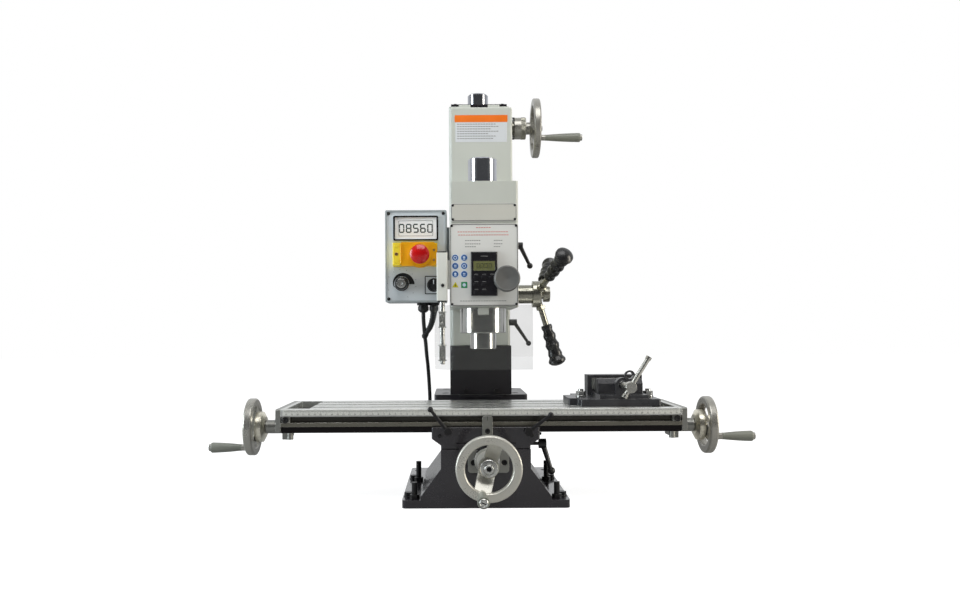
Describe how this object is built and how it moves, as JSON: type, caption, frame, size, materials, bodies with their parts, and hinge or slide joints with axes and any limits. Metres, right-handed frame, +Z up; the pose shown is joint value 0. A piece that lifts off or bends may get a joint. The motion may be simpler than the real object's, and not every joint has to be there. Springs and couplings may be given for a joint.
{
  "type": "benchtop milling machine",
  "caption": "Benchtop column milling machine with cross table, handwheels, quill feed lever, spindle guard, control box and a small vise on the table.",
  "frame": {"origin": "on the bench plane, straight under the spindle axis", "axes": "+Z up along the spindle axis, -Y towards the operator, +X to the right along the table"},
  "size_m": [0.9884, 0.6592, 0.815],
  "materials": {
    "black_enamel": "glossy black enamel",
    "grey_paint": "warm light grey paint",
    "box_paint": "blue-grey paint",
    "bright_steel": "turned and polished",
    "ground_iron": "ground flat",
    "dark_chrome": "polished",
    "dark_steel": "blackened",
    "wheel_alloy": "satin polished",
    "grip_plastic": "moulded",
    "black_plastic": "moulded",
    "knob_grey": "knurled",
    "black_rubber": "plain sheet",
    "clear_plastic": "clear sheet",
    "yellow_plastic": "moulded",
    "red_plastic": "moulded",
    "scale_strip": "engraved strip",
    "plate_white": "plain plate",
    "nut_bronze": "machined",
    "vise_black": "painted"
  },
  "bodies": {
    "base": {"base_casting": "black_enamel", "base_fixings": "dark_steel", "y_screw_bracket": "bright_steel", "column": "grey_paint", "column_top_plate": "black_enamel", "leadscrew_cap": "dark_chrome", "way_cover": "black_rubber", "z_wheel_bearing": "bright_steel"},
    "z_screw": {"z_leadscrew": "bright_steel"},
    "z_wheel": {"z_wheel_shaft": "bright_steel", "z_handwheel": "wheel_alloy"},
    "z_wheel_grip": {"z_grip": "grip_plastic"},
    "saddle": {"saddle_casting": "black_enamel", "saddle_pointer": "bright_steel", "leadscrew_nuts": "nut_bronze"},
    "left_table_lock": {"x_lock_left": "dark_steel"},
    "right_table_lock": {"x_lock_right": "dark_steel"},
    "saddle_lock": {"y_lock_lever": "black_plastic"},
    "table": {"table": "ground_iron", "table_scale": "scale_strip", "table_end_brackets": "bright_steel", "table_stops": "dark_steel", "vise_body": "vise_black", "vise_bolts": "bright_steel"},
    "x_screw": {"x_leadscrew": "bright_steel", "x_handwheels": "wheel_alloy", "x_dials": "bright_steel"},
    "left_wheel_grip": {"x_grip_left": "grip_plastic"},
    "right_wheel_grip": {"x_grip_right": "grip_plastic"},
    "y_screw": {"y_leadscrew": "bright_steel", "y_handwheel": "wheel_alloy", "y_dial": "bright_steel"},
    "front_wheel_grip": {"y_grip": "grip_plastic"},
    "head": {"head_slide": "grey_paint", "head_casting": "grey_paint", "front_plates": "plate_white", "depth_display": "black_plastic", "motor_cover": "grey_paint", "spindle_motor": "dark_steel", "drawbar_cap": "dark_chrome", "guard_arm": "grey_paint", "control_box": "box_paint", "control_box_lid": "box_paint", "estop_housing": "yellow_plastic", "control_cables": "black_rubber"},
    "estop_cover": {"estop_cover": "yellow_plastic"},
    "estop_button": {"estop_button": "red_plastic"},
    "speed_knob": {"speed_knob": "black_plastic"},
    "selector_knob": {"selector_knob": "black_plastic"},
    "fine_feed": {"fine_feed_knob": "knob_grey"},
    "quill_lock": {"quill_lock_lever": "dark_steel"},
    "head_lock": {"head_lock_lever": "dark_steel"},
    "guard": {"guard_rod": "bright_steel", "guard_shield": "clear_plastic"},
    "quill": {"quill": "bright_steel"},
    "spindle": {"spindle": "bright_steel"},
    "feed_hub": {"feed_hub": "bright_steel", "feed_grips": "black_plastic"},
    "vise_jaw": {"vise_jaw": "vise_black"},
    "vise_screw": {"vise_screw": "bright_steel"}
  },
  "joints": [
    {"name": "x_wheels_turn", "type": "hinge", "parent": "table", "child": "x_screw", "pos_m": [-0.007, 0, 0.13], "axis": [1, 0, 0], "range_deg": [-38342, 40862]},
    {"name": "table_x_feed", "type": "slide", "parent": "saddle", "child": "table", "axis": [1, 0, 0], "range_m": [-0.213, 0.227]},
    {"name": "y_wheel_turn", "type": "hinge", "parent": "base", "child": "y_screw", "pos_m": [0, -0.232, 0.0895], "axis": [0, 1, 0], "range_deg": [-18002, 10442]},
    {"name": "saddle_y_feed", "type": "slide", "parent": "base", "child": "saddle", "axis": [0, 1, 0], "range_m": [-0.1, 0.058]},
    {"name": "z_wheel_turn", "type": "hinge", "parent": "base", "child": "z_wheel", "pos_m": [0.117, 0.266, 0.743], "axis": [1, 0, 0], "range_deg": [-36002, 8102]},
    {"name": "z_screw_turn", "type": "hinge", "parent": "base", "child": "z_screw", "pos_m": [0, 0.266, 0.743], "axis": [0, 0, 1], "range_deg": [-36002, 8102]},
    {"name": "head_z_feed", "type": "slide", "parent": "base", "child": "head", "axis": [0, 0, -1], "range_m": [-0.2, 0.045]},
    {"name": "left_grip_spin", "type": "hinge", "parent": "x_screw", "child": "left_wheel_grip", "pos_m": [-0.46, -0.01816, 0.09436], "axis": [1, 0, 0], "continuous": true},
    {"name": "right_grip_spin", "type": "hinge", "parent": "x_screw", "child": "right_wheel_grip", "pos_m": [0.446, -0.03625, 0.1131], "axis": [1, 0, 0], "continuous": true},
    {"name": "front_grip_spin", "type": "hinge", "parent": "y_screw", "child": "front_wheel_grip", "pos_m": [-0.01089, -0.28, 0.05101], "axis": [0, 1, 0], "continuous": true},
    {"name": "z_grip_spin", "type": "hinge", "parent": "z_wheel", "child": "z_wheel_grip", "pos_m": [0.18, 0.22555, 0.71361], "axis": [1, 0, 0], "continuous": true},
    {"name": "left_table_lock_turn", "type": "hinge", "parent": "saddle", "child": "left_table_lock", "pos_m": [-0.065, -0.112, 0.133], "axis": [0, -1, 0], "range_deg": [0, 60]},
    {"name": "right_table_lock_turn", "type": "hinge", "parent": "saddle", "child": "right_table_lock", "pos_m": [0.073, -0.112, 0.132], "axis": [0, -1, 0], "range_deg": [-60, 0]},
    {"name": "saddle_lock_turn", "type": "hinge", "parent": "saddle", "child": "saddle_lock", "pos_m": [0.09, -0.06, 0.1047], "axis": [1, 0, 0], "range_deg": [-40, 40]},
    {"name": "feed_lever_turn", "type": "hinge", "parent": "head", "child": "feed_hub", "pos_m": [0.103, 0.04, 0.374], "axis": [1, 0, 0], "range_deg": [0, 286.48]},
    {"name": "quill_feed", "type": "slide", "parent": "head", "child": "quill", "axis": [0, 0, 1], "range_m": [-0.05001, 0]},
    {"name": "spindle_spin", "type": "hinge", "parent": "quill", "child": "spindle", "pos_m": [0, 0, 0.3], "axis": [0, 0, 1], "continuous": true},
    {"name": "fine_feed_turn", "type": "hinge", "parent": "head", "child": "fine_feed", "pos_m": [0.039, -0.088, 0.396], "axis": [0, 1, 0], "continuous": true},
    {"name": "quill_lock_turn", "type": "hinge", "parent": "head", "child": "quill_lock", "pos_m": [0.067, 0, 0.462], "axis": [1, 0, 0], "range_deg": [-60, 60]},
    {"name": "head_lock_turn", "type": "hinge", "parent": "head", "child": "head_lock", "pos_m": [0.067, 0.172, 0.322], "axis": [1, 0, 0], "range_deg": [-60, 60]},
    {"name": "guard_swing", "type": "hinge", "parent": "head", "child": "guard", "pos_m": [-0.0745, -0.06, 0.3], "axis": [0, 0, -1], "range_deg": [0, 110]},
    {"name": "estop_cover_swing", "type": "hinge", "parent": "head", "child": "estop_cover", "pos_m": [-0.1505, -0.0125, 0.447], "axis": [0, 0, -1], "range_deg": [0, 100]},
    {"name": "estop_press", "type": "slide", "parent": "estop_cover", "child": "estop_button", "axis": [0, 1, 0], "range_m": [0, 0.005]},
    {"name": "speed_knob_turn", "type": "hinge", "parent": "head", "child": "speed_knob", "pos_m": [-0.151, 0.003, 0.3935], "axis": [0, 1, 0], "range_deg": [0, 270]},
    {"name": "selector_turn", "type": "hinge", "parent": "head", "child": "selector_knob", "pos_m": [-0.091, 0.003, 0.391], "axis": [0, 1, 0], "range_deg": [-45, 45]},
    {"name": "vise_screw_turn", "type": "hinge", "parent": "vise_jaw", "child": "vise_screw", "pos_m": [0.246, -0.124, 0.208], "axis": [0, 1, 0], "range_deg": [-1800, 2880]},
    {"name": "vise_jaw_slide", "type": "slide", "parent": "table", "child": "vise_jaw", "axis": [0, 1, 0], "range_m": [-0.01501, 0.02401]}
  ],
  "couplings": [
    {"joint": "x_wheels_turn", "follows": "table_x_feed", "rad_per_m": 3141.6},
    {"joint": "y_wheel_turn", "follows": "saddle_y_feed", "rad_per_m": 3141.6},
    {"joint": "z_wheel_turn", "follows": "head_z_feed", "rad_per_m": 3141.6},
    {"joint": "z_screw_turn", "follows": "head_z_feed", "rad_per_m": 3141.6},
    {"joint": "quill_feed", "follows": "feed_lever_turn", "m_per_rad": -0.01},
    {"joint": "vise_jaw_slide", "follows": "vise_screw_turn", "m_per_rad": 0.00047746}
  ]
}
